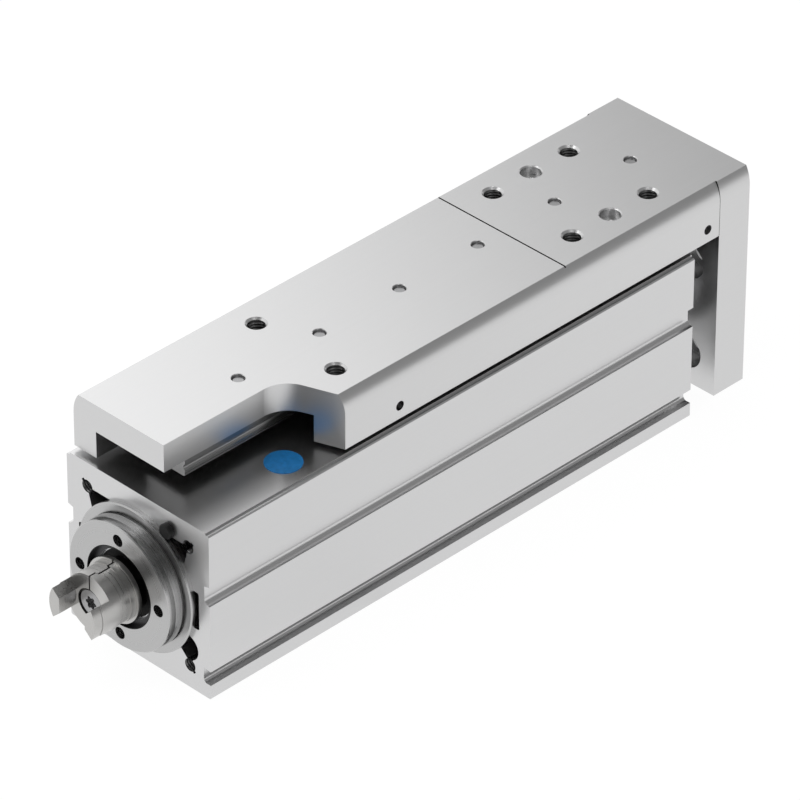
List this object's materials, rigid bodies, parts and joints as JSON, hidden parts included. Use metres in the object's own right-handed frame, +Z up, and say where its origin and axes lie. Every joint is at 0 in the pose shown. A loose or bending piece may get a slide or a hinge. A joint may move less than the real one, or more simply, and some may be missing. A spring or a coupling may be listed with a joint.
{
  "type": "electric mini slide",
  "caption": "Electric mini slide: a spindle drive in a grooved square housing moves a guided slide plate with a yoke plate; clamping hub and flange for a motor.",
  "frame": {"origin": "middle of the housing's base, on the surface that it is fastened to", "axes": "+X the way the slide travels out, along the drive axis; +Y the slide's full-length side, across; +Z up, out of the slide's top"},
  "size_m": [0.1932, 0.045, 0.0598],
  "materials": {
    "anodised_body": "drawn profile, clear anodised, fine lines along the length",
    "anodised_slide": "milled flat and clear anodised, fine satin",
    "turned_flange": "fine turned",
    "turned_hub": "turned and milled",
    "bearing_steel": "ground",
    "guide_steel": "ground, satin",
    "spring_steel": "dark oiled",
    "screw_steel": "bright zinc plated",
    "rod_steel": "ground and polished",
    "bush_bronze": "sintered bronze",
    "buffer_rubber": "moulded, matt",
    "seal_rubber": "moulded, satin",
    "black_plastic": "moulded, matt",
    "white_plastic": "machined, natural",
    "blue_label": "printed, satin"
  },
  "bodies": {
    "base": {"housing_profile": "anodised_body", "drive_flange": "turned_flange", "port_plug": "black_plastic", "bearing_outer_rings": "bearing_steel", "bearing_seals": "seal_rubber", "retaining_ring": "spring_steel", "rear_buffer": "buffer_rubber", "front_buffer": "buffer_rubber", "rod_guide": "anodised_body", "rod_bush": "bush_bronze", "rod_wiper": "seal_rubber", "guide_set_screws": "screw_steel", "front_carriage": "guide_steel", "rear_carriage": "guide_steel", "carriage_end_caps": "black_plastic", "carriage_seals": "seal_rubber", "carriage_screws": "screw_steel", "label_disc": "blue_label"},
    "slide": {"slide_plate": "anodised_slide", "guide_rail": "guide_steel", "rail_screws": "screw_steel", "yoke_plate": "anodised_slide", "yoke_screws": "screw_steel", "yoke_pins": "bearing_steel", "rod_screw": "screw_steel", "piston_rod": "rod_steel", "piston": "anodised_body", "magnet_ring": "black_plastic", "guide_shoes": "white_plastic", "spindle_nut": "bearing_steel"},
    "spindle": {"spindle": "bearing_steel", "spindle_tip_ring": "white_plastic", "bearing_inner_rings": "bearing_steel", "shaft_nut": "spring_steel", "coupling_hub": "turned_hub", "coupling_screw": "screw_steel"}
  },
  "joints": [
    {"name": "slide_travel", "type": "slide", "parent": "base", "child": "slide", "axis": [1, 0, 0], "range_m": [0, 0.05]},
    {"name": "spindle_spin", "type": "hinge", "parent": "base", "child": "spindle", "pos_m": [-0.077, 0, 0.0221], "axis": [-1, 0, 0], "range_deg": [0, 1800]}
  ],
  "couplings": [
    {"joint": "spindle_spin", "follows": "slide_travel", "rad_per_m": 628.32}
  ]
}
